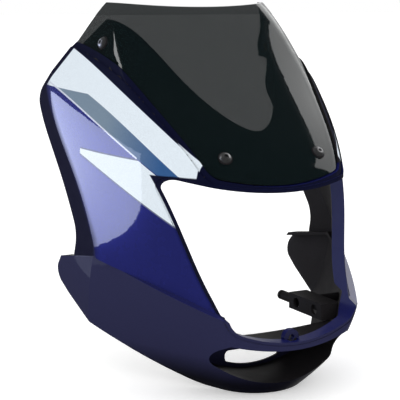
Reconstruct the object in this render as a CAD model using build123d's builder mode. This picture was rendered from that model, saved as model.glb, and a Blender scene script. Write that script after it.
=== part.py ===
"""Motorbike headlight cowl: a moulded shell round the lamp, with a smoked windscreen and two inner stays.

Millimetres. +Z is up, -Y is the front of the motorbike, X runs across it, and the cowl is symmetric about X = 0.
The origin is the centre of the lamp adjuster hole in the lug behind the chin bar.
"""

import math
import os
from typing import NamedTuple

from build123d import *


class Station(NamedTuple):
    """One plan section of the shell: half-widths, and distances behind the lug, in its own plane."""

    plane: Plane
    nose: float
    shoulder_half: float
    shoulder_back: float
    bend_half: float
    bend_back: float
    bow: float
    tail_half: float
    rear: float
    shoulder_radius: float


# Walls and clearances
wall = 3.0
screen_thickness = 4.2
screen_drop = 3.5
screen_gap = 2.3
fit_gap = 0.1
shelf_depth = screen_drop + screen_thickness + screen_gap
riser_width = 5.0
riser_drop = 1.2
lip_drop = 0.5
ledge_overlap = 3.0
stock = 400.0

# Crease between the upper panels and the wings: a plane that falls towards the front
crease_height = 22.5
crease_tilt = 16.8
wing_depth = 40.0
jaw_depth = 100.0
shoulder_draw = 0.55

# Heights of the level stations
foot_height = 10.0
lamp_height = 82.0
brow_height = 132.0
screen_height = 180.0
ear_height = 230.0
top_height = 285.0

# Side view of the shell: the rear and lower edges
neck_back = 154.0
neck_height = 71.0
neck_foot_back = 160.0
neck_foot_height = 52.0
ledge_front = 117.0
ear_back = 244.0
ear_back_height = 186.0
ear_top_back = 210.0
ear_top_height = 231.0
shelf_top_back = 182.0
shelf_top_height = 254.0
wing_top_back = 187.0
wing_top_height = 46.0
tail_back = 205.0
tail_height = 28.0
tail_under_back = 181.0
tail_under_height = 13.0
wing_under_back = 115.0
wing_under_height = -20.0
chin_back = 62.0
chin_height = -49.5
lip_height = -53.0
lip_front = 10.0
ear_radius = 14.0
tail_radius = 11.0
under_radius = 40.0
neck_radius = 24.0
corner_radius = 4.0

# Lamp opening, seen from the front
lamp_corner_half = 91.4
lamp_top = 132.0
lamp_brow = 119.0
lamp_low_half = 58.5
lamp_low_height = 12.5
lamp_bottom = -1.0
lamp_corner_radius = 7.0
lamp_low_radius = 20.0
lip_depth = 11.0
lower_lip_depth = 12.6

# Windscreen, seen from the front
screen_bottom = 123.5
screen_corner_half = 61.5
screen_corner_height = 132.0
screen_corner_radius = 14.0
screen_side_half = 99.5
screen_side_height = 236.0
screen_side_back = 207.0
screen_tip_half = 78.0
screen_tip_height = 270.0
screen_tip_back = 185.0
screen_top = 266.0
screen_margin = 1.0

# Window in the screen shelf, seen from the front
window_bottom = 164.0
window_low_half = 36.0
window_low_height = 190.0
window_mid_half = 58.0
window_mid_height = 229.0
window_top_half = 81.0
window_top_height = 256.0

# Air intake in the chin
mouth_half = 56.0
mouth_end_half = 63.0
mouth_end_height = -13.0
mouth_top = -8.5
mouth_top_end = -1.0
mouth_bottom = -41.0
mouth_bottom_end = -24.0
duct_wall = 2.5
duct_back = 61.0
roof_front = 26.0
roof_low = -19.0
slot_half = 27.0
slot_top = -24.0
slot_bottom = -38.0
slot_end = -33.0
slot_corner_radius = 4.0
vent_offset = 41.5
vent_height = -23.0
vent_radius = 1.8

# Lamp adjuster lug behind the chin bar
lug_radius = 7.0
lug_thickness = 5.0
lug_bore_radius = 2.75
lug_pocket_radius = 5.0
lug_pocket_front = -8.0

# Screen fasteners: M5 screws in rubber well nuts
bottom_screw_half = 44.4
bottom_screw_height = 146.0
top_screw_back = 164.0
top_screw_height = 235.0
screw_radius = 2.5
screw_hole_radius = 2.8
socket_radius = 1.7
socket_depth = 1.6
head_radius = 5.0
head_height = 2.8
washer_radius = 6.0
washer_thickness = 1.0
well_nut_radius = 4.9
well_nut_flange_radius = 6.8
well_nut_flange = 1.2
flange_gap = 0.2
well_nut_length = 14.0
insert_radius = 3.6
insert_length = 8.0
screw_reach = 17.0

# Stay arms on the inner walls
arm_front = 24.0
arm_back = 78.0
arm_low = 2.0
arm_high = 16.0
arm_inner = 47.0
arm_foot = 66.0
arm_wall = 2.5
arm_foot_thickness = 3.0
arm_edge_radius = 1.5
peg_radius = 4.25
peg_length = 20.0
peg_offset = 52.0
peg_height = 9.0
peg_groove_depth = 0.8
peg_groove_width = 2.0
peg_groove_inset = 3.0
boss_radius = 4.5
boss_pilot_radius = 2.0
boss_pilot_depth = 10.0
stay_screw_radius = 1.9
stay_head_radius = 3.8
stay_head_height = 2.4
stay_screw_reach = 8.0
stay_screw_inset = 13.0
stay_hole_radius = 2.2
access_radius = 4.4


def crease_plane(depth):
    """The crease plane, moved square to itself by a depth below the crease."""
    tilt = math.radians(crease_tilt)
    up = Vector(0, -math.sin(tilt), math.cos(tilt))
    origin = Vector(0, 0, crease_height) - up * depth
    return Plane(origin=origin, x_dir=(1, 0, 0), z_dir=up)


upper_stations = [
    Station(Plane.XY.offset(foot_height), -18.2, 60.2, -10, 119.5, 110, 4, 120.5, 190, 16),
    Station(Plane.XY.offset(lamp_height), -4, 58, 8, 122, 128, 5, 123, 200, 18),
    Station(Plane.XY.offset(brow_height), 11, 63, 20, 122.5, 170, 11, 123.5, 235, 20),
    Station(Plane.XY.offset(screen_height), 61, 84, 77, 122.5, 210, 6, 123.5, 265, 24),
    Station(Plane.XY.offset(ear_height), 113, 89, 130, 106, 235, 2, 108, 275, 28),
    Station(Plane.XY.offset(top_height), 188, 75, 198, 85, 250, 1, 87, 285, 28),
]
foot_stations = [
    Station(crease_plane(0), -18, 60, -8, 121, 126, 4, 122, 230, 16),
    Station(crease_plane(wing_depth), -16, 53, -3, 120, 126, 4, 121, 240, 16),
]
jaw_stations = [
    Station(crease_plane(0), -19, 61, -9, 122, 126, 4, 128, 230, 16),
    Station(crease_plane(wing_depth), -17, 54, -4, 122, 126, 4, 127, 240, 18),
    Station(crease_plane(jaw_depth), 14, 28, 32, 107, 135, 3, 117, 250, 20),
]


def plan_sketch(station, inset, overrun):
    """Plan of the form at a station, drawn in by an inset: nose arc, shoulders, bowed sides, rear borders."""
    shoulder = (station.shoulder_half - shoulder_draw * inset, station.shoulder_back + inset)
    bend = (station.bend_half - inset, station.bend_back)
    tail = (station.tail_half - inset, station.rear + overrun)
    with BuildSketch() as plan:
        with BuildLine():
            Line((-tail[0], tail[1]), (-bend[0], bend[1]))
            SagittaArc((-bend[0], bend[1]), (-shoulder[0], shoulder[1]), -station.bow)
            ThreePointArc((-shoulder[0], shoulder[1]), (0, station.nose + inset), shoulder)
            SagittaArc(shoulder, bend, -station.bow)
            Line(bend, tail)
            Line(tail, (-tail[0], tail[1]))
        make_face()
        fillet(plan.vertices().sort_by(Axis.Y)[:2], station.shoulder_radius - inset)
    return plan.sketch


def wall_section(station, outer, inner):
    """A wall cut at a station, between an outer and an inner inset, open at the rear."""
    with BuildSketch(station.plane) as section:
        add(plan_sketch(station, outer, 0))
        add(plan_sketch(station, inner, wall), mode=Mode.SUBTRACT)
    return section.sketch


def ledge_section(jaw_station, foot_station):
    """The ledge cut at one depth, from inside the wing's wall to inside the panel's foot."""
    with BuildSketch(jaw_station.plane) as section:
        add(plan_sketch(jaw_station, 1, -1))
        add(plan_sketch(foot_station, wall + ledge_overlap, stock), mode=Mode.SUBTRACT)
    return section.sketch


def wall_form(stations, outer, inner):
    """A wall through all the stations, between an outer and an inner inset."""
    with BuildPart() as form:
        loft(sections=[wall_section(station, outer, inner) for station in stations])
    return form.part


def upper_outline():
    """Side view of the panels and the recess: neck, ear and shelf end, open to the front and below."""
    shelf_slope = (shelf_top_height - ear_top_height) / (ear_top_back - shelf_top_back)
    ahead = -stock / 4
    points = [
        (ahead, lip_height),
        (neck_foot_back, lip_height),
        (neck_foot_back, neck_foot_height),
        (neck_back, neck_height),
        (ear_back, ear_back_height),
        (ear_top_back, ear_top_height),
        (ahead, ear_top_height + (ear_top_back - ahead) * shelf_slope),
    ]
    radii = [corner_radius, corner_radius, neck_radius, neck_radius, ear_radius, corner_radius, corner_radius]
    with BuildSketch(Plane.YZ) as outline:
        with BuildLine():
            FilletPolyline(*points, radius=radii, close=True)
        make_face()
    return outline.sketch


def lower_outline():
    """Side view of the wings and chin: lip, lower edge and tail, open to the front and above."""
    ahead = -stock / 4
    points = [
        (ahead, lip_height),
        (lip_front, lip_height),
        (chin_back, chin_height),
        (wing_under_back, wing_under_height),
        (tail_under_back, tail_under_height),
        (tail_back, tail_height),
        (wing_top_back, wing_top_height),
        (wing_top_back, stock),
        (ahead, stock),
    ]
    radii = [
        corner_radius,
        under_radius,
        under_radius,
        under_radius,
        tail_radius,
        tail_radius,
        corner_radius,
        corner_radius,
        corner_radius,
    ]
    with BuildSketch(Plane.YZ) as outline:
        with BuildLine():
            FilletPolyline(*points, radius=radii, close=True)
        make_face()
    return outline.sketch


def below_crease(drop):
    """Side view of all that lies below the crease and the wing's ledge, lowered by a drop."""
    rise = math.tan(math.radians(crease_tilt))
    ledge_height = crease_height + ledge_front * rise
    ledge_slope = (wing_top_height - ledge_height) / (wing_top_back - ledge_front)
    with BuildSketch(Plane.YZ) as outline:
        with BuildLine():
            Polyline(
                (-stock, -stock),
                (stock, -stock),
                (stock, ledge_height + (stock - ledge_front) * ledge_slope - drop),
                (ledge_front, ledge_height - drop),
                (-stock, crease_height - stock * rise - drop),
                close=True,
            )
        make_face()
    return outline.sketch


def below_roof(grow):
    """Side view of all that lies below the duct's roof, which falls towards the back wall."""
    slope = (roof_low - mouth_top_end) / (duct_back - roof_front)
    with BuildSketch(Plane.YZ) as outline:
        with BuildLine():
            Polyline(
                (-stock, -stock),
                (stock, -stock),
                (stock, mouth_top_end + (stock - roof_front) * slope + grow),
                (roof_front, mouth_top_end + grow),
                (roof_front, stock),
                (-stock, stock),
                close=True,
            )
        make_face()
    return outline.sketch


def lamp_outline(grow):
    """Front view of the lamp opening, grown outwards: brow arc, raked sides and chin arc."""
    with BuildSketch(Plane.XZ) as outline:
        with BuildLine():
            ThreePointArc((-lamp_corner_half, lamp_top), (0, lamp_brow), (lamp_corner_half, lamp_top))
            Line((lamp_corner_half, lamp_top), (lamp_low_half, lamp_low_height))
            ThreePointArc((lamp_low_half, lamp_low_height), (0, lamp_bottom), (-lamp_low_half, lamp_low_height))
            Line((-lamp_low_half, lamp_low_height), (-lamp_corner_half, lamp_top))
        make_face()
        fillet(outline.vertices().group_by(Axis.Y)[-1], lamp_corner_radius)
        fillet(outline.vertices().group_by(Axis.Y)[0], lamp_low_radius)
        if grow:
            offset(amount=grow)
    return outline.sketch


def screen_outline(grow):
    """Front view of the area that the screen covers, open at the top, grown outwards."""
    rise = (screen_side_half - screen_corner_half) / (screen_side_height - screen_corner_height)
    top_half = screen_corner_half + rise * (stock - screen_corner_height)
    corner = (screen_corner_half, screen_corner_height)
    with BuildSketch(Plane.XZ) as outline:
        with BuildLine():
            ThreePointArc((-corner[0], corner[1]), (0, screen_bottom), corner)
            Line(corner, (top_half, stock))
            Line((top_half, stock), (-top_half, stock))
            Line((-top_half, stock), (-corner[0], corner[1]))
        make_face()
        fillet(outline.vertices().group_by(Axis.Y)[0], screen_corner_radius)
        if grow:
            offset(amount=grow)
    return outline.sketch


def solid_form(stations, inset):
    """The whole form through all the stations, drawn in by an inset."""
    with BuildPart() as form:
        loft(sections=[station.plane * plan_sketch(station, inset, 0) for station in stations])
    return form.part


def mouth_outline(grow):
    """Front view of the intake mouth, grown outwards: two long arcs with round ends."""
    with BuildSketch(Plane.XZ) as outline:
        with BuildLine():
            ThreePointArc((-mouth_half, mouth_top_end), (0, mouth_top), (mouth_half, mouth_top_end))
            ThreePointArc(
                (mouth_half, mouth_top_end), (mouth_end_half, mouth_end_height), (mouth_half, mouth_bottom_end)
            )
            ThreePointArc((mouth_half, mouth_bottom_end), (0, mouth_bottom), (-mouth_half, mouth_bottom_end))
            ThreePointArc(
                (-mouth_half, mouth_bottom_end), (-mouth_end_half, mouth_end_height), (-mouth_half, mouth_top_end)
            )
        make_face()
        if grow:
            offset(amount=grow)
    return outline.sketch


def surface_plane(part, ray):
    """A plane on the first surface that a ray meets, with its normal out of the part."""
    hits = [hit for face in part.faces() for hit in face.find_intersection_points(ray)]
    point, normal = min(hits, key=lambda hit: (hit[0] - ray.position).dot(ray.direction))
    return Plane(origin=point, z_dir=normal)


def mirrored(plane):
    """The same plane on the other side of the cowl."""
    point = plane.origin
    normal = plane.z_dir
    return Plane(origin=(-point.X, point.Y, point.Z), z_dir=(-normal.X, normal.Y, normal.Z))


# Windscreen: a smooth bubble that lies in the shell's recess
screen_rake = (screen_side_back - screen_tip_back) / (screen_tip_height - screen_side_height)
screen_low_back = screen_side_back + screen_side_height * screen_rake
screen_high_back = screen_side_back - (stock - screen_side_height) * screen_rake
with BuildPart() as screen_sheet:
    add(wall_form(upper_stations, screen_drop, screen_drop + screen_thickness))
    extrude(screen_outline(-screen_margin), amount=stock, both=True, mode=Mode.INTERSECT)
    with BuildSketch(Plane.XZ):
        with BuildLine():
            ThreePointArc(
                (-screen_tip_half, screen_tip_height), (0, screen_top), (screen_tip_half, screen_tip_height)
            )
            Polyline(
                (screen_tip_half, screen_tip_height),
                (stock, screen_tip_height),
                (stock, 0),
                (-stock, 0),
                (-stock, screen_tip_height),
                (-screen_tip_half, screen_tip_height),
            )
        make_face()
    extrude(amount=stock, both=True, mode=Mode.INTERSECT)
    with BuildSketch(Plane.YZ):
        with BuildLine():
            Polyline((-stock, 0), (screen_low_back, 0), (screen_high_back, stock), (-stock, stock), close=True)
        make_face()
    extrude(amount=stock, both=True, mode=Mode.INTERSECT)

# Shelf that carries the screen
with BuildPart() as shelf_sheet:
    extrude(screen_outline(0), amount=stock, both=True)
    add(wall_form(upper_stations, shelf_depth, shelf_depth + wall), mode=Mode.INTERSECT)

# Screen fasteners stand square to the screen, on both sides
bottom_ray = Axis((bottom_screw_half, -stock, bottom_screw_height), (0, 1, 0))
top_ray = Axis((stock, top_screw_back, top_screw_height), (-1, 0, 0))
right_screw_planes = [surface_plane(screen_sheet.part, ray) for ray in (bottom_ray, top_ray)]
right_nut_planes = [
    Plane(origin=surface_plane(shelf_sheet.part, Axis(plane.origin, -plane.z_dir)).origin, z_dir=plane.z_dir)
    for plane in right_screw_planes
]
screw_planes = right_screw_planes + [mirrored(plane) for plane in right_screw_planes]
nut_planes = right_nut_planes + [mirrored(plane) for plane in right_nut_planes]

with BuildPart() as windscreen:
    add(screen_sheet.part)
    with Locations(*screw_planes):
        Cylinder(screw_hole_radius, 4 * screen_thickness, mode=Mode.SUBTRACT)

# Cowl shell: wings and chin below the crease, with the ledge that joins them to the panels
with BuildPart() as ledge:
    loft(sections=[ledge_section(*pair) for pair in zip(jaw_stations, foot_stations)])
    extrude(below_crease(0), amount=stock, both=True, mode=Mode.INTERSECT)
    extrude(below_crease(wall), amount=stock, both=True, mode=Mode.SUBTRACT)
with BuildPart() as lower_shell:
    add(wall_form(jaw_stations, 0, wall))
    extrude(below_crease(0), amount=stock, both=True, mode=Mode.INTERSECT)
    extrude(mouth_outline(0), amount=stock, both=True, mode=Mode.SUBTRACT)
    add(ledge.part)
    extrude(lower_outline(), amount=stock, both=True, mode=Mode.INTERSECT)
    extrude(lamp_outline(wall), amount=stock, both=True, mode=Mode.SUBTRACT)

# Cowl shell: recess for the screen, with the window in its shelf
with BuildPart() as recess_wall:
    extrude(screen_outline(riser_width), amount=stock, both=True)
    extrude(screen_outline(0), amount=stock, both=True, mode=Mode.SUBTRACT)
    add(wall_form(upper_stations, riser_drop, shelf_depth + wall - 1), mode=Mode.INTERSECT)
with BuildPart() as recess:
    add(shelf_sheet.part)
    with BuildSketch(Plane.XZ):
        with BuildLine():
            Spline(
                (-window_top_half, window_top_height),
                (-window_mid_half, window_mid_height),
                (-window_low_half, window_low_height),
                (0, window_bottom),
                (window_low_half, window_low_height),
                (window_mid_half, window_mid_height),
                (window_top_half, window_top_height),
            )
            Polyline(
                (window_top_half, window_top_height),
                (window_top_half, stock),
                (-window_top_half, stock),
                (-window_top_half, window_top_height),
            )
        make_face()
    extrude(amount=stock, both=True, mode=Mode.SUBTRACT)
    with Locations(*nut_planes):
        Cylinder(well_nut_radius + fit_gap, 4 * wall, mode=Mode.SUBTRACT)
    add(recess_wall.part)
    extrude(upper_outline(), amount=stock, both=True, mode=Mode.INTERSECT)
    extrude(lamp_outline(wall), amount=stock, both=True, mode=Mode.SUBTRACT)

# Cowl shell: upper panels and ears
with BuildPart() as upper_shell:
    add(wall_form(upper_stations, 0, wall))
    extrude(screen_outline(riser_width), amount=stock, both=True, mode=Mode.SUBTRACT)
    extrude(upper_outline(), amount=stock, both=True, mode=Mode.INTERSECT)
    extrude(lamp_outline(wall), amount=stock, both=True, mode=Mode.SUBTRACT)
    extrude(below_crease(0), amount=stock, both=True, mode=Mode.SUBTRACT)
    add(recess.part)

# Return lip round the lamp opening, in two lengths that meet at the crease, with a pocket before the lug
with BuildPart() as lip_ring:
    extrude(lamp_outline(wall), amount=stock, both=True)
    extrude(lamp_outline(0), amount=stock, both=True, mode=Mode.SUBTRACT)
with BuildPart() as upper_lip:
    add(lip_ring.part)
    add(wall_form(upper_stations, lip_drop, lip_depth), mode=Mode.INTERSECT)
    split(bisect_by=crease_plane(0), keep=Keep.TOP)
with BuildPart() as lower_lip:
    add(lip_ring.part)
    add(wall_form(jaw_stations, lip_drop, lower_lip_depth), mode=Mode.INTERSECT)
    with BuildSketch(Plane.XZ.offset(-lug_pocket_front)):
        Circle(lug_pocket_radius)
    extrude(amount=-stock, mode=Mode.SUBTRACT)

# Intake duct behind the mouth, closed by a back wall with a slot and two vents
with BuildPart() as duct_space:
    extrude(mouth_outline(0), amount=stock)
    extrude(mouth_outline(0), amount=-duct_back)
    extrude(below_roof(0), amount=stock, both=True, mode=Mode.INTERSECT)
with BuildPart() as duct:
    extrude(mouth_outline(duct_wall), amount=stock, both=True)
    extrude(below_roof(duct_wall), amount=stock, both=True, mode=Mode.INTERSECT)
    add(duct_space.part, mode=Mode.SUBTRACT)
    add(solid_form(jaw_stations, wall / 2), mode=Mode.INTERSECT)
    with BuildSketch(Plane.XZ.offset(-duct_back - duct_wall)):
        Rectangle(2 * stock, 2 * stock)
    extrude(amount=-stock, mode=Mode.SUBTRACT)
    with BuildSketch(Plane.XZ.offset(-duct_back + duct_wall)) as duct_cuts:
        with BuildLine():
            Polyline(
                (-slot_half, slot_end), (-slot_half, slot_top), (slot_half, slot_top), (slot_half, slot_end)
            )
            ThreePointArc((slot_half, slot_end), (0, slot_bottom), (-slot_half, slot_end))
        make_face()
        fillet(duct_cuts.vertices(), slot_corner_radius)
        with Locations((-vent_offset, vent_height), (vent_offset, vent_height)):
            Circle(vent_radius)
    extrude(amount=-3 * duct_wall, mode=Mode.SUBTRACT)

# Lug for the lamp adjuster, on the duct's roof
lug_foot = mouth_top + duct_wall / 2
with BuildPart() as lug:
    with BuildSketch(Plane.XZ.offset(lug_thickness / 2)):
        with BuildLine():
            Polyline((lug_radius, 0), (lug_radius, lug_foot), (-lug_radius, lug_foot), (-lug_radius, 0))
            ThreePointArc((-lug_radius, 0), (0, lug_radius), (lug_radius, 0))
        make_face()
        Circle(lug_bore_radius, mode=Mode.SUBTRACT)
    extrude(amount=-lug_thickness)
with BuildPart() as chin_duct:
    add(duct.part)
    add(lug.part)

# Bosses for the stay screws, from flat seats to the inner walls
stay_rows = (arm_front + stay_screw_inset, arm_back - stay_screw_inset)
with BuildPart() as bosses:
    with BuildSketch(Plane.YZ):
        with Locations(*[(row, peg_height) for row in stay_rows]):
            Circle(boss_radius)
    extrude(amount=stock, both=True)
    with BuildSketch(Plane.YZ):
        Rectangle(2 * stock, 2 * stock)
    extrude(amount=arm_foot, both=True, mode=Mode.SUBTRACT)
    add(solid_form(jaw_stations, wall / 2), mode=Mode.INTERSECT)
    with BuildSketch(Plane.YZ):
        with Locations(*[(row, peg_height) for row in stay_rows]):
            Circle(boss_pilot_radius)
    extrude(amount=arm_foot + boss_pilot_depth, both=True, mode=Mode.SUBTRACT)

with BuildPart() as cowl_shell:
    add(upper_shell.part)
    add(lower_shell.part)
    add(upper_lip.part)
    add(lower_lip.part)
    add(chin_duct.part)
    add(bosses.part)

# Screen screws with domed heads and hexagon sockets
with BuildPart() as screw_form:
    with BuildSketch(Plane.XZ):
        with BuildLine():
            Polyline(
                (0, washer_thickness + head_height),
                (0, -screw_reach),
                (screw_radius - 0.5, -screw_reach),
                (screw_radius, 0.5 - screw_reach),
                (screw_radius, washer_thickness),
                (head_radius, washer_thickness),
                (head_radius, washer_thickness + 0.5),
            )
            RadiusArc(
                (head_radius, washer_thickness + 0.5),
                (head_radius / 2, washer_thickness + head_height),
                -head_radius,
            )
            Line((head_radius / 2, washer_thickness + head_height), (0, washer_thickness + head_height))
        make_face()
    revolve(axis=Axis.Z)
    with BuildSketch(Plane.XY.offset(washer_thickness + head_height)):
        RegularPolygon(socket_radius, 6)
    extrude(amount=-socket_depth, mode=Mode.SUBTRACT)
with BuildPart() as screen_screws:
    with Locations(*screw_planes):
        add(screw_form.part)

with BuildPart() as screen_washers:
    with Locations(*screw_planes):
        Cylinder(washer_radius, washer_thickness, align=(Align.CENTER, Align.CENTER, Align.MIN))
        Cylinder(screw_hole_radius, 3 * washer_thickness, mode=Mode.SUBTRACT)

# Rubber well nuts: flange on the shelf, body through it, with a threaded insert moulded into the end
with BuildPart() as well_nut_form:
    with BuildSketch(Plane.XZ):
        with BuildLine():
            Polyline(
                (screw_hole_radius, flange_gap + well_nut_flange),
                (screw_hole_radius, insert_length - well_nut_length),
                (insert_radius, insert_length - well_nut_length),
                (insert_radius, -well_nut_length),
                (well_nut_radius, -well_nut_length),
                (well_nut_radius, flange_gap),
                (well_nut_flange_radius, flange_gap),
                (well_nut_flange_radius, flange_gap + well_nut_flange),
                close=True,
            )
        make_face()
    revolve(axis=Axis.Z)
with BuildPart() as well_nuts:
    with Locations(*nut_planes):
        add(well_nut_form.part)

with BuildPart() as insert_form:
    with BuildSketch(Plane.XY.offset(-well_nut_length)):
        Circle(insert_radius)
        Circle(screw_radius + fit_gap / 2, mode=Mode.SUBTRACT)
    extrude(amount=insert_length)
with BuildPart() as well_nut_inserts:
    with Locations(*nut_planes):
        add(insert_form.part)

# Stay arms: a foot plate on the bosses, a channel open below and a peg to the rear
with BuildPart() as right_stay_arm:
    with BuildSketch(Plane.XY.offset(arm_low)):
        with Locations(((arm_inner + arm_foot) / 2, (arm_front + arm_back) / 2)):
            Rectangle(arm_foot - arm_inner, arm_back - arm_front)
    extrude(amount=arm_high - arm_low)
    fillet(right_stay_arm.edges().filter_by(Axis.Z).sort_by(Axis.X)[:2], arm_edge_radius)
    with BuildSketch(Plane.XY.offset(arm_low)):
        with Locations(((arm_inner + arm_wall + arm_foot - arm_foot_thickness) / 2, (arm_front + arm_back) / 2)):
            Rectangle(
                arm_foot - arm_inner - arm_wall - arm_foot_thickness, arm_back - arm_front - 2 * arm_wall
            )
    extrude(amount=arm_high - arm_low - arm_wall, mode=Mode.SUBTRACT)
    with BuildSketch(Plane.YZ.offset(arm_foot)):
        with Locations(*[(row, peg_height) for row in stay_rows]):
            Circle(stay_hole_radius)
    extrude(amount=-arm_foot_thickness, mode=Mode.SUBTRACT)
    with BuildSketch(Plane.YZ.offset(arm_inner)):
        with Locations(*[(row, peg_height) for row in stay_rows]):
            Circle(access_radius)
    extrude(amount=arm_wall, mode=Mode.SUBTRACT)
    with BuildSketch(Plane.XZ.offset(-arm_back)):
        with Locations((peg_offset, peg_height)):
            Circle(peg_radius)
    extrude(amount=-peg_length)
    with BuildSketch(Plane.XZ.offset(-arm_back - peg_length + peg_groove_inset)):
        with Locations((peg_offset, peg_height)):
            Circle(peg_radius)
            Circle(peg_radius - peg_groove_depth, mode=Mode.SUBTRACT)
    extrude(amount=peg_groove_width, mode=Mode.SUBTRACT)
with BuildPart() as left_stay_arm:
    mirror(right_stay_arm.part, about=Plane.YZ)

# Stay screws run outwards through the feet into the bosses
with BuildPart() as right_stay_screws:
    with BuildSketch(Plane.YZ.offset(arm_foot - arm_foot_thickness)):
        with Locations(*[(row, peg_height) for row in stay_rows]):
            Circle(stay_screw_radius)
    extrude(amount=arm_foot_thickness + stay_screw_reach)
    with BuildSketch(Plane.YZ.offset(arm_foot - arm_foot_thickness)):
        with Locations(*[(row, peg_height) for row in stay_rows]):
            Circle(stay_head_radius)
    extrude(amount=-stay_head_height)
with BuildPart() as stay_screws:
    add(right_stay_screws.part)
    mirror(right_stay_screws.part, about=Plane.YZ)

os.makedirs("parts", exist_ok=True)
cowl_shell.part.label = "cowl_shell"
export_step(cowl_shell.part, "parts/cowl_shell.step")
windscreen.part.label = "windscreen"
export_step(windscreen.part, "parts/windscreen.step")
screen_screws.part.label = "screen_screws"
export_step(screen_screws.part, "parts/screen_screws.step")
screen_washers.part.label = "screen_washers"
export_step(screen_washers.part, "parts/screen_washers.step")
well_nuts.part.label = "well_nuts"
export_step(well_nuts.part, "parts/well_nuts.step")
well_nut_inserts.part.label = "well_nut_inserts"
export_step(well_nut_inserts.part, "parts/well_nut_inserts.step")
left_stay_arm.part.label = "left_stay_arm"
export_step(left_stay_arm.part, "parts/left_stay_arm.step")
right_stay_arm.part.label = "right_stay_arm"
export_step(right_stay_arm.part, "parts/right_stay_arm.step")
stay_screws.part.label = "stay_screws"
export_step(stay_screws.part, "parts/stay_screws.step")
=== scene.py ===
"""Looks of the motorbike headlight cowl.

A painted shell with stripes, a smoked windscreen, black stays and small fasteners, in a plain
white studio.
"""

import math

import bpy
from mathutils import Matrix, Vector
from mathutils.bvhtree import BVHTree


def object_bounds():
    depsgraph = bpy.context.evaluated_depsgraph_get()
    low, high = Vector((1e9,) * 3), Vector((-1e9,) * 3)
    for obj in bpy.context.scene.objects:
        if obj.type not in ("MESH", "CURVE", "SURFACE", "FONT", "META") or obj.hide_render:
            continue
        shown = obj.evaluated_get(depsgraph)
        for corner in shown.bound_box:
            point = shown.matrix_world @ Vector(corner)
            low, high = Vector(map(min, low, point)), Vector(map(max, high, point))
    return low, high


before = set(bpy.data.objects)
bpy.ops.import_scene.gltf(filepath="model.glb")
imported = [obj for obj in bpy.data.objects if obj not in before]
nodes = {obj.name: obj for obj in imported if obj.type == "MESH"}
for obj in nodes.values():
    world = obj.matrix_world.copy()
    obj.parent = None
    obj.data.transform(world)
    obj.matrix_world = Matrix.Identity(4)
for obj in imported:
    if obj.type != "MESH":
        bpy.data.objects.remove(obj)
cad_low, cad_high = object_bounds()

# Metres in the part's frame: +Z up, -Y to the front, X across.
# Angles are in degrees, and colours are linear.
camera_target = Vector((0, 0.157, 0.091))
camera_azimuth = -28.0
camera_elevation = 9.2
camera_distance = 1.15
camera_lens = 112.95
sensor_width = 36.0
floor_size = 40.0
floor_drop = 0.0005
floor_lift = 0.35

# The studio: a white backdrop behind the cowl's far side, and before it a dim room that only
# the gloss shows.
white = (1.0, 1.0, 1.0)
blue_tint = (0.86, 0.94, 1.22)
backdrop_bearing = Vector((0.6, 0.8, 0))
backdrop_start = 0.60
backdrop_full = 0.85
studio_white = 1.0
studio_dim = 0.06
card_distance = 2.5

# Paint and print
navy = (0.016, 0.020, 0.165)
# Painted shade along the rolled rear edge
rear_shade_navy = (0.007, 0.007, 0.026)
# Painted shade on the ridge beside the screen and on the brow
ridge_shade_navy = (0.004, 0.005, 0.022)
# Painted shade on the down-facing wing
wing_shade_navy = (0.025, 0.026, 0.071)
# Painted shade, darker still, where the wing runs down to the chin
chin_shade_navy = (0.005, 0.005, 0.012)
stripe_white = (0.78, 0.86, 0.93)
band_grey = (0.19, 0.26, 0.34)
band_blue = (0.035, 0.105, 0.27)
line_white = (0.66, 0.70, 0.80)
edge_grey = (0.16, 0.18, 0.27)
paint_metal = 0.28
paint_roughness = (0.24, 0.30)
paint_coat_ior = 1.7
print_coat = 0.45
dull_coat = 0.02
dull_roughness = 0.3
wing_dullness = 0.97
# The lip's navy is darkened as painted shade.
lip_painted_shade = (0.5, 0.7)
lip_roughness = (0.34, 0.40)
lip_coat_ior = 1.3
flake_scale = 2600
flake_shades = (0.86, 1.14)
paint_grain_scale = 90
peel_scale = 420

# Plastics and metals
plastic_black = (0.018, 0.0165, 0.018)
plastic_pale = 1.5
plastic_grain_scale = 35
plastic_grain_swing = 0.06
screen_dark = (0.002, 0.006, 0.007)
screen_pale = (0.004, 0.009, 0.010)
screen_haze_scale = 60
screen_roughness = (0.02, 0.05)
screen_alpha = 0.815
screen_ior = 1.49
steel_grey = (0.40, 0.40, 0.41)
brass_yellow = (0.55, 0.38, 0.14)
wear_scale = 900
worn_shade = 0.7
worn_roughness = 0.15

# The parts of the noise's range that are used
grain_range = (0.3, 0.7)
speckle_range = (0.35, 0.65)

# Sockets of the Mix node when it mixes colours
mix_factor, mix_under, mix_over, mix_result = 0, 6, 7, 2

# Side-view edges of the print: height = a + b * back + c * back ** 2.
ridge_edge = (0.1193, 0.8129, -1.3319)
stripe_edge = (0.0968, 0.8600, -1.6348)
stripe_step = (0.1825, 0.0600, 0.0)
band_edge = (0.0912, 0.7088, -1.0180)
wedge_top = (0.1367, 0.0601, 0.0)
wedge_low = (0.0624, 0.6913, -1.1282)
wedge_tip_back = 0.153
wedge_tip_soft = 0.0003
print_front = 0.030
line_front = 0.0835
front_soft = 0.0005
line_half = 0.0007
outline_width = 0.0012
soft_edge = 0.0002
band_fade = (0.125, 0.060)
# Heights where the brow's painted shade fades in
brow_shade_fade = (0.112, 0.116)

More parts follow.
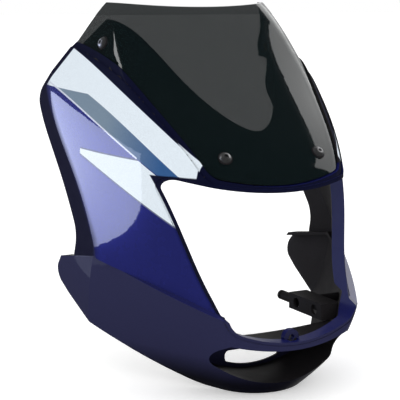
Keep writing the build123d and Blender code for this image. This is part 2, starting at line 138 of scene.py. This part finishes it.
# Painted shade: a dark band runs along the shell's rear edge, standing in for the edge's roll
# away from the light. The wing lies below the crease, and further back below the ledge.
rear_shade_edge = (-0.1076, 1.6849, -1.5327)
rear_shade_soft = 0.006
rear_shade_fade = (0.108, 0.120)
ear_edge = (0.5089, -1.3235, 0.0)
ear_shade_width = 0.010
ear_soft = 0.0005
crease_edge = (0.0225, 0.3022, 0.0)
ledge_edge = (0.0775, -0.1686, 0.0)
ledge_front = 0.117
# Heights over which the wing darkens towards the chin as painted shade
chin_shade_fade = (-0.016, -0.042)

# The painted shade line beside the lamp opening: half width of the opening = a + b * height.
lamp_side = (0.05506, 0.2753)
lamp_edge_width = 0.0022
lamp_edge_low = (0.008, 0.012)
lamp_edge_top = (0.131, 0.132)

# Limits that tell the lip's and the inside's faces from the painted ones
lip_front_limit = 0.075
lip_half_limit = 0.096
lip_top_limit = 0.136
lip_turn = 0.02
chin_arc_height = 0.1325
chin_arc_radius = 0.135
inner_axis_back = 0.150
inside_turn = -0.30
rear_turn = 0.85
ray_start = 0.0003
ray_reach = 0.5
paint_slot, inside_slot, lip_slot = range(3)

scene = bpy.context.scene
scene.view_settings.view_transform = "Standard"


def shade(color, share):
    """A colour made darker or paler."""
    return tuple(share * value for value in color)


class NodeKit:
    """Small helpers that add nodes to one material."""

    def __init__(self, name):
        self.material = bpy.data.materials.new(name)
        self.material.use_nodes = True
        self.tree = self.material.node_tree
        self.shader = self.tree.nodes["Principled BSDF"]
        self.place = self.tree.nodes.new("ShaderNodeTexCoord").outputs["Object"]

    def link(self, source, target):
        self.tree.links.new(source, target)

    def feed(self, value, target):
        """Link a socket, or set a colour or a plain value."""
        if isinstance(value, bpy.types.NodeSocket):
            self.link(value, target)
        elif isinstance(value, tuple):
            target.default_value = (*value, 1)
        else:
            target.default_value = value

    def math(self, operation, first, second=0.0):
        node = self.tree.nodes.new("ShaderNodeMath")
        node.operation = operation
        self.feed(first, node.inputs[0])
        self.feed(second, node.inputs[1])
        return node.outputs["Value"]

    def axes(self):
        """The X, Y and Z of the place on the part."""
        node = self.tree.nodes.new("ShaderNodeSeparateXYZ")
        self.link(self.place, node.inputs["Vector"])
        return node.outputs

    def ramp(self, value, start, end, low=0.0, high=1.0):
        """A clamped straight ramp from low at start to high at end."""
        node = self.tree.nodes.new("ShaderNodeMapRange")
        self.feed(value, node.inputs["Value"])
        node.inputs["From Min"].default_value = start
        node.inputs["From Max"].default_value = end
        node.inputs["To Min"].default_value = low
        node.inputs["To Max"].default_value = high
        return node.outputs["Result"]

    def between(self, mask, low, high):
        """A value that goes from low to high as a mask goes from 0 to 1."""
        return self.ramp(mask, 0.0, 1.0, low, high)

    def blend(self, factor, under, over, blend_type="MIX"):
        """A colour that goes with the factor from under to over, or to their product."""
        node = self.tree.nodes.new("ShaderNodeMix")
        node.data_type = "RGBA"
        node.blend_type = blend_type
        self.feed(factor, node.inputs[mix_factor])
        self.feed(under, node.inputs[mix_under])
        self.feed(over, node.inputs[mix_over])
        return node.outputs[mix_result]

    def noise(self, scale, detail=2.0):
        node = self.tree.nodes.new("ShaderNodeTexNoise")
        self.link(self.place, node.inputs["Vector"])
        node.inputs["Scale"].default_value = scale
        node.inputs["Detail"].default_value = detail
        return node.outputs["Fac"]

    def grain(self, scale, low=0.0, high=1.0, detail=2.0):
        """Noise spread over a range of values."""
        return self.ramp(self.noise(scale, detail), *grain_range, low, high)

    def bump(self, height, strength, distance):
        node = self.tree.nodes.new("ShaderNodeBump")
        node.inputs["Strength"].default_value = strength
        node.inputs["Distance"].default_value = distance
        self.link(height, node.inputs["Height"])
        return node.outputs["Normal"]

    def set(self, **values):
        """Set or link the shader's inputs, given by name with _ for spaces."""
        for name, value in values.items():
            self.feed(value, self.shader.inputs[name.replace("_", " ")])


def lip_paint():
    """The shell's plain blue paint, darkened as painted shade, for the lip round the lamp
    opening.
    """
    kit = NodeKit("lip_paint")
    flakes = kit.grain(flake_scale, detail=1.0)
    # Painted shade: the lip's navy is made darker than the shell's.
    dark, pale = (shade(navy, share) for share in lip_painted_shade)
    kit.set(
        Base_Color=kit.blend(flakes, dark, pale),
        Roughness=kit.grain(paint_grain_scale, *lip_roughness),
        Specular_IOR_Level=0.04,
        Coat_Weight=0.06,
        Coat_Roughness=0.05,
        Coat_IOR=lip_coat_ior,
    )
    return kit.material


def shell_paint():
    """Blue metallic paint under a clear coat, a stripe, band and wedge per panel, and painted
    shade.
    """
    kit = NodeKit("paint")
    across, back, height = kit.axes()

    def past(value, limit, soft=soft_edge):
        """1 where a value is past a limit, 0 before it."""
        return kit.ramp(value, limit - soft, limit + soft)

    def above(edge, soft=soft_edge, shift=0.0):
        """1 above an edge given as a curve in the side view, 0 below it."""
        square = kit.math("MULTIPLY", kit.math("MULTIPLY", back, back), edge[2])
        rise = kit.math("ADD", kit.math("MULTIPLY", back, edge[1]), square)
        over = kit.math("SUBTRACT", height, kit.math("ADD", rise, edge[0] + shift))
        return past(over, 0.0, soft)

    def both(first, second):
        return kit.math("MULTIPLY", first, second)

    def either(first, second):
        return kit.math("MAXIMUM", first, second)

    def without(mask):
        return kit.math("SUBTRACT", 1.0, mask)

    # Wing, panel, and the painted shade along the panel's rear edge
    on_ledge = past(back, ledge_front)
    below_crease = both(without(above(crease_edge)), without(on_ledge))
    below_ledge = both(without(above(ledge_edge)), on_ledge)
    wing = kit.math("ADD", below_crease, below_ledge)
    panel = without(wing)
    within = without(above(ear_edge, ear_soft, -ear_shade_width))
    within = both(within, above(rear_shade_edge, rear_shade_soft))
    rear_shade = both(both(without(within), kit.ramp(back, *rear_shade_fade)), panel)

    # Stripe and band, with the line below the band
    on_side = kit.ramp(back, print_front, print_front + front_soft)
    over_stripe = either(above(stripe_edge), above(stripe_step))
    stripe = both(both(without(above(ridge_edge)), over_stripe), on_side)
    band = both(both(without(over_stripe), above(band_edge)), on_side)
    line_low = above(band_edge, shift=-line_half)
    line = both(line_low, without(above(band_edge, shift=line_half)))
    line = both(line, kit.ramp(back, line_front, line_front + front_soft))

    # Wedge, and the wedge with its outline
    before_tip = without(past(back, wedge_tip_back, wedge_tip_soft))
    wedge_place = both(without(line_low), before_tip)
    wedge = both(both(without(above(wedge_top)), above(wedge_low)), wedge_place)
    around = without(above(wedge_top, shift=outline_width))
    around = both(around, above(wedge_low, shift=-outline_width))
    around = both(around, wedge_place)

    # Painted shade on the ridge beside the screen and on the brow, and the places with little
    # gloss
    brow_shade = both(without(on_side), kit.ramp(height, *brow_shade_fade))
    ridge_shade = both(either(above(ridge_edge), brow_shade), panel)
    dull = either(either(rear_shade, ridge_shade), both(wing, wing_dullness))
    print_area = both(panel, without(dull))

    # Painted shade: a dark line beside the lamp opening
    edge_run = kit.math("ADD", kit.math("MULTIPLY", height, lamp_side[1]), lamp_side[0])
    beside = kit.math("SUBTRACT", kit.math("ABSOLUTE", across), edge_run)
    lamp_edge_shade = both(without(past(beside, lamp_edge_width)), panel)
    lamp_span = kit.ramp(height, *lamp_edge_low)
    lamp_span = both(lamp_span, without(kit.ramp(height, *lamp_edge_top)))

    # Colours, each laid over those before it; the wing, chin, rear edge, ridge and lamp-edge
    # colours are painted shade
    color = navy
    for mask, over in (
        (wing, kit.blend(kit.ramp(height, *chin_shade_fade), wing_shade_navy, chin_shade_navy)),
        (rear_shade, rear_shade_navy),
        (ridge_shade, ridge_shade_navy),
        (both(band, print_area), kit.blend(kit.ramp(back, *band_fade), band_grey, band_blue)),
        (both(stripe, print_area), stripe_white),
        (both(line, print_area), line_white),
        (both(around, print_area), edge_grey),
        (both(wedge, print_area), stripe_white),
        (both(lamp_edge_shade, lamp_span), ridge_shade_navy),
    ):
        color = kit.blend(mask, color, over)
    flakes = kit.grain(flake_scale, *flake_shades, detail=1.0)

    printed = both(either(either(stripe, band), around), print_area)
    grain = kit.grain(paint_grain_scale, *paint_roughness)
    coat = both(kit.between(dull, 1.0, dull_coat), kit.between(printed, 1.0, print_coat))
    kit.set(
        Base_Color=kit.blend(1.0, color, flakes, "MULTIPLY"),
        Metallic=kit.between(either(printed, dull), paint_metal, 0.0),
        Roughness=kit.math("ADD", grain, kit.between(dull, 0.0, dull_roughness)),
        Specular_IOR_Level=0.02,
        Coat_Weight=coat,
        Coat_Roughness=0.03,
        Coat_IOR=paint_coat_ior,
        Coat_Normal=kit.bump(kit.noise(peel_scale, detail=1.0), strength=0.02, distance=0.0004),
    )
    return kit.material


def moulded_black(name, speckle_scale, roughness):
    """Black moulded plastic or rubber with a fine grain."""
    kit = NodeKit(name)
    speckle = kit.ramp(kit.noise(speckle_scale, detail=3.0), *speckle_range)
    smoothest = roughness - plastic_grain_swing
    roughest = roughness + plastic_grain_swing
    kit.set(
        Base_Color=kit.blend(speckle, plastic_black, shade(plastic_black, plastic_pale)),
        Roughness=kit.grain(plastic_grain_scale, smoothest, roughest),
        Specular_IOR_Level=0.03,
        Normal=kit.bump(speckle, strength=0.12, distance=0.0002),
    )
    return kit.material


def turned_metal(name, color, roughness):
    """Plated or turned metal with fine wear."""
    kit = NodeKit(name)
    wear = kit.grain(wear_scale, detail=4.0)
    kit.set(
        Base_Color=kit.blend(wear, color, shade(color, worn_shade)),
        Metallic=1.0,
        Roughness=kit.between(wear, roughness, roughness + worn_roughness),
        Normal=kit.bump(wear, strength=0.05, distance=0.0001),
    )
    return kit.material


def smoked_screen():
    """Smoked clear plastic: polished, dark, and seen through."""
    kit = NodeKit("screen_tint")
    haze = kit.noise(screen_haze_scale, detail=3.0)
    kit.set(
        Base_Color=kit.blend(haze, screen_dark, screen_pale),
        Roughness=kit.ramp(haze, *grain_range, *screen_roughness),
        Alpha=screen_alpha,
        IOR=screen_ior,
    )
    return kit.material


steel = turned_metal("screw_steel", steel_grey, roughness=0.38)
stay_plastic = moulded_black("stay_black", speckle_scale=1800, roughness=0.45)
node_materials = {
    "windscreen": smoked_screen(),
    "screen_screws": steel,
    "screen_washers": moulded_black("washer_black", speckle_scale=2200, roughness=0.5),
    "well_nuts": moulded_black("nut_rubber", speckle_scale=2600, roughness=0.72),
    "well_nut_inserts": turned_metal("insert_brass", brass_yellow, roughness=0.3),
    "left_stay_arm": stay_plastic,
    "right_stay_arm": stay_plastic,
    "stay_screws": steel,
}
for name, material in node_materials.items():
    nodes[name].data.materials.clear()
    nodes[name].data.materials.append(material)


def is_lip(face):
    """True on the return lip's face that looks into the lamp opening."""
    x, y, z = face.center
    near = y < lip_front_limit and z < lip_top_limit and abs(x) < lip_half_limit
    over_chin = math.hypot(x, z - chin_arc_height) < chin_arc_radius
    return near and over_chin and abs(face.normal.y) < lip_turn


def is_inside(face, covers):
    """True where a wall or the screen stands before the face, or it looks back or inwards."""
    if face.normal.y > rear_turn:
        return True
    start = face.center + face.normal * ray_start
    if any(cover.ray_cast(start, face.normal, ray_reach)[0] for cover in covers):
        return True
    outward = Vector((face.center.x, face.center.y - inner_axis_back, 0)).normalized()
    return face.normal.dot(outward) < inside_turn


def surface_tree(data):
    """A mesh's faces, ready for ray casts."""
    places = [vertex.co for vertex in data.vertices]
    return BVHTree.FromPolygons(places, [polygon.vertices for polygon in data.polygons])


# The shell is painted outside and on the lip, and black inside.
shell = nodes["cowl_shell"].data
inside_black = moulded_black("inside_black", speckle_scale=1400, roughness=0.55)
shell.materials.clear()
for material in (shell_paint(), inside_black, lip_paint()):
    shell.materials.append(material)
covers = [surface_tree(nodes[name].data) for name in ("cowl_shell", "windscreen")]
for face in shell.polygons:
    if is_lip(face):
        face.material_index = lip_slot
    else:
        face.material_index = inside_slot if is_inside(face, covers) else paint_slot

# Camera
azimuth = math.radians(camera_azimuth)
elevation = math.radians(camera_elevation)
toward = Vector(
    (
        math.sin(azimuth) * math.cos(elevation),
        -math.cos(azimuth) * math.cos(elevation),
        math.sin(elevation),
    )
)
camera_data = bpy.data.cameras.new("camera")
camera_data.sensor_width = sensor_width
camera_data.lens = camera_lens
camera = bpy.data.objects.new("camera", camera_data)
camera.location = camera_target + toward * camera_distance
camera.rotation_euler = (-toward).to_track_quat("-Z", "Y").to_euler()
scene.collection.objects.link(camera)
scene.camera = camera

# A white floor that takes the cowl's soft shadow, and stays out of the paint's reflections
bpy.ops.mesh.primitive_plane_add(size=floor_size, location=(0, 0, cad_low[2] - floor_drop))
floor = bpy.context.object
floor.name = "floor"
floor_kit = NodeKit("floor_white")
floor_rays = floor_kit.tree.nodes.new("ShaderNodeLightPath").outputs["Is Camera Ray"]
floor_kit.set(
    Base_Color=white,
    Roughness=1.0,
    Specular_IOR_Level=0.0,
    Emission_Color=white,
    Emission_Strength=floor_kit.math("MULTIPLY", floor_rays, floor_lift),
)
floor.data.materials.append(floor_kit.material)
floor.visible_glossy = False

# The world is white, but glossy rays see that white only towards the backdrop.
world = bpy.data.worlds.new("studio")
scene.world = world
world.use_nodes = True
sky = world.node_tree
rays = sky.nodes.new("ShaderNodeLightPath")
heading = sky.nodes.new("ShaderNodeTexCoord")
facing = sky.nodes.new("ShaderNodeVectorMath")
facing.operation = "DOT_PRODUCT"
sky.links.new(heading.outputs["Generated"], facing.inputs[0])
facing.inputs[1].default_value = backdrop_bearing
gloss = sky.nodes.new("ShaderNodeMapRange")
sky.links.new(facing.outputs["Value"], gloss.inputs["Value"])
gloss.inputs["From Min"].default_value = backdrop_start
gloss.inputs["From Max"].default_value = backdrop_full
gloss.inputs["To Min"].default_value = studio_dim
gloss.inputs["To Max"].default_value = studio_white
level = sky.nodes.new("ShaderNodeMix")
sky.links.new(rays.outputs["Is Glossy Ray"], level.inputs["Factor"])
level.inputs["A"].default_value = studio_white
sky.links.new(gloss.outputs["Result"], level.inputs["B"])
background = sky.nodes["Background"]
background.inputs["Color"].default_value = (*white, 1)
sky.links.new(level.outputs["Result"], background.inputs["Strength"])


def soft_card(name, bearing, slope, width, height, power, tint):
    """A card of light that shows in the gloss, aimed at the cowl.

    The bearing turns from -X towards +Y.
    """
    turn = math.radians(bearing)
    direction = Vector((-math.cos(turn), math.sin(turn), slope)).normalized()
    data = bpy.data.lights.new(name, "AREA")
    data.shape = "RECTANGLE"
    data.size = width
    data.size_y = height
    data.energy = power
    data.color = tint
    light = bpy.data.objects.new(name, data)
    light.location = camera_target + direction * card_distance
    light.rotation_euler = (-direction).to_track_quat("-Z", "Y").to_euler()
    light.visible_camera = False
    light.visible_diffuse = False
    scene.collection.objects.link(light)


soft_card(
    "left_card", bearing=37.1, slope=-0.015, width=2.226, height=1.36, power=33.0, tint=blue_tint
)
soft_card("right_card", bearing=169.4, slope=0.68, width=2.3, height=1.0, power=15.0, tint=white)
soft_card("high_card", bearing=31.0, slope=0.62, width=0.6, height=0.4, power=4.0, tint=white)
